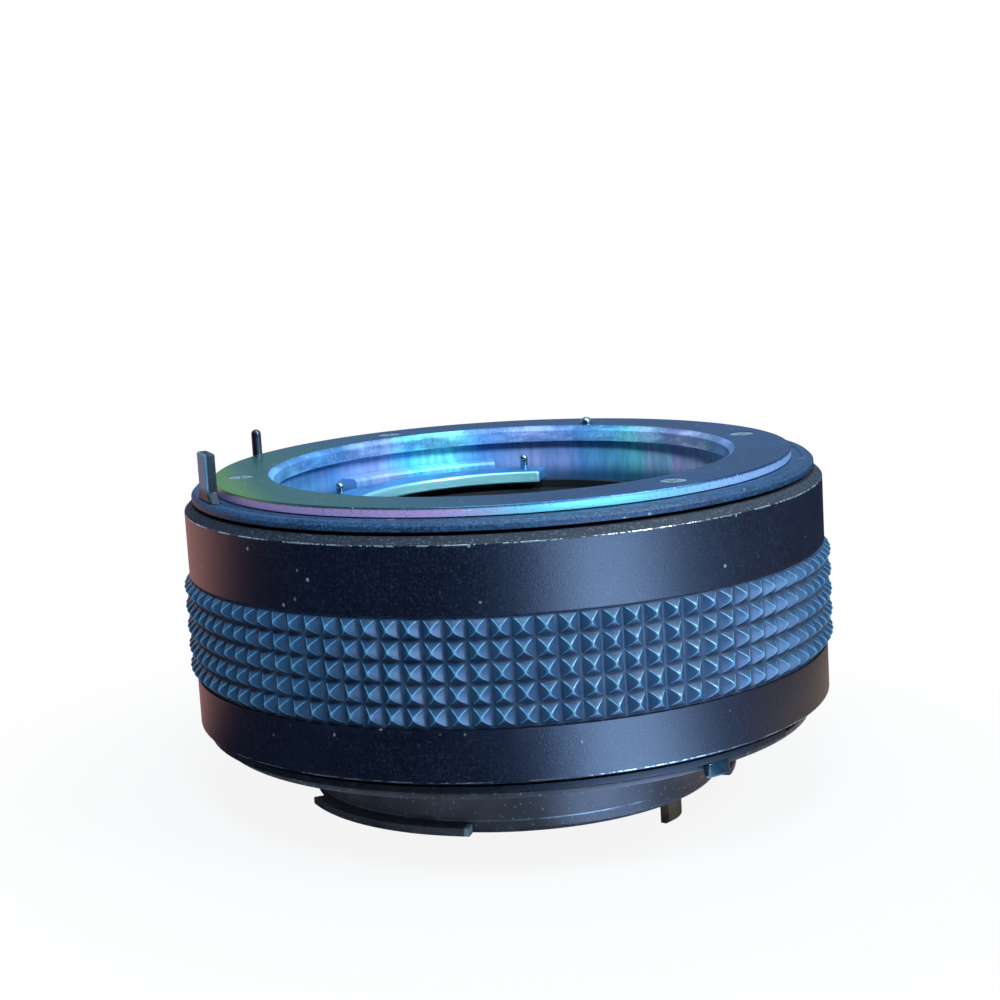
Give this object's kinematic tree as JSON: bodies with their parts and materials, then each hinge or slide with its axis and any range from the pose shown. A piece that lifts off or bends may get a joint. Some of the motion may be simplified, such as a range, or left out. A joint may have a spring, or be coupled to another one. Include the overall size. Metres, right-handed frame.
{
  "type": "camera teleconverter",
  "caption": "A manual-focus camera teleconverter with a ring of rubber pyramid studs, a polished front bayonet, a black rear bayonet and sprung couplings for the lens",
  "frame": {"origin": "centre of the rear flange plane, on the optical axis", "axes": "+Z along the optical axis towards the lens, the stop-down lever towards +X and -Y"},
  "size_m": [0.0652, 0.0652, 0.0391],
  "materials": {
    "shell_paint": "satin black lacquer on aluminium",
    "grip_rubber": "moulded dark slate rubber",
    "index_paint": "red mounting dot",
    "mount_chrome": "polished chrome on brass, lightly worn",
    "rear_black": "semi-gloss black, worn at the edges",
    "coupling_black": "gloss black",
    "dark_anodised": "black anodised",
    "flat_black": "flat anti-glare black",
    "screw_steel": "plated steel",
    "pin_steel": "turned steel",
    "spring_steel": "wound spring wire",
    "lever_brass": "blackened brass, worn",
    "coated_glass": "coated optical glass"
  },
  "bodies": {
    "converter_body": {"lower_shell": "shell_paint", "upper_shell": "shell_paint", "index_dot": "index_paint", "grip_sleeve": "grip_rubber", "grip_carrier": "dark_anodised", "carrier_screws": "screw_steel", "chassis": "dark_anodised", "light_baffle": "flat_black", "front_mount": "mount_chrome", "front_mount_screws": "screw_steel", "rotation_stop": "screw_steel", "claw_ring": "mount_chrome", "claw_springs": "spring_steel", "rear_mount": "rear_black", "rear_mount_screws": "screw_steel", "lens_barrel": "flat_black", "barrel_screws": "screw_steel", "coupling_spring": "spring_steel", "stopdown_spring": "spring_steel", "front_element": "coated_glass", "second_element": "coated_glass", "middle_element": "coated_glass", "fourth_element": "coated_glass", "rear_element": "coated_glass", "lens_spacer_1": "flat_black", "lens_spacer_2": "flat_black", "lens_spacer_3": "flat_black", "lens_spacer_4": "flat_black", "front_retainer": "flat_black"},
    "aperture_coupling": {"front_coupling_ring": "coupling_black", "rear_coupling_ring": "coupling_black", "coupling_posts": "coupling_black", "coupling_screws": "screw_steel", "follower_tab": "coupling_black", "follower_pin": "pin_steel", "coupling_lug": "coupling_black"},
    "stopdown_link": {"stopdown_sleeve": "flat_black", "stopdown_plate": "lever_brass", "stopdown_pins": "pin_steel", "stopdown_lever": "lever_brass"},
    "lens_lock": {"lock_pin": "pin_steel", "lock_arm": "lever_brass", "lock_spring": "spring_steel", "release_slide": "shell_paint"}
  },
  "joints": [
    {"name": "aperture_coupling_turn", "type": "hinge", "parent": "converter_body", "child": "aperture_coupling", "pos_m": [0, 0, 0], "axis": [0, 0, 1], "range_deg": [0, 48], "stiffness_Nm_per_rad": 0.002},
    {"name": "stopdown_turn", "type": "hinge", "parent": "converter_body", "child": "stopdown_link", "pos_m": [0, 0, 0], "axis": [0, 0, 1], "range_deg": [0, 14], "stiffness_Nm_per_rad": 0.01},
    {"name": "lens_lock_slide", "type": "slide", "parent": "converter_body", "child": "lens_lock", "axis": [0, 0, -1], "range_m": [0, 0.0012], "stiffness_N_per_m": 200, "deforming": ["lock_spring"]}
  ]
}
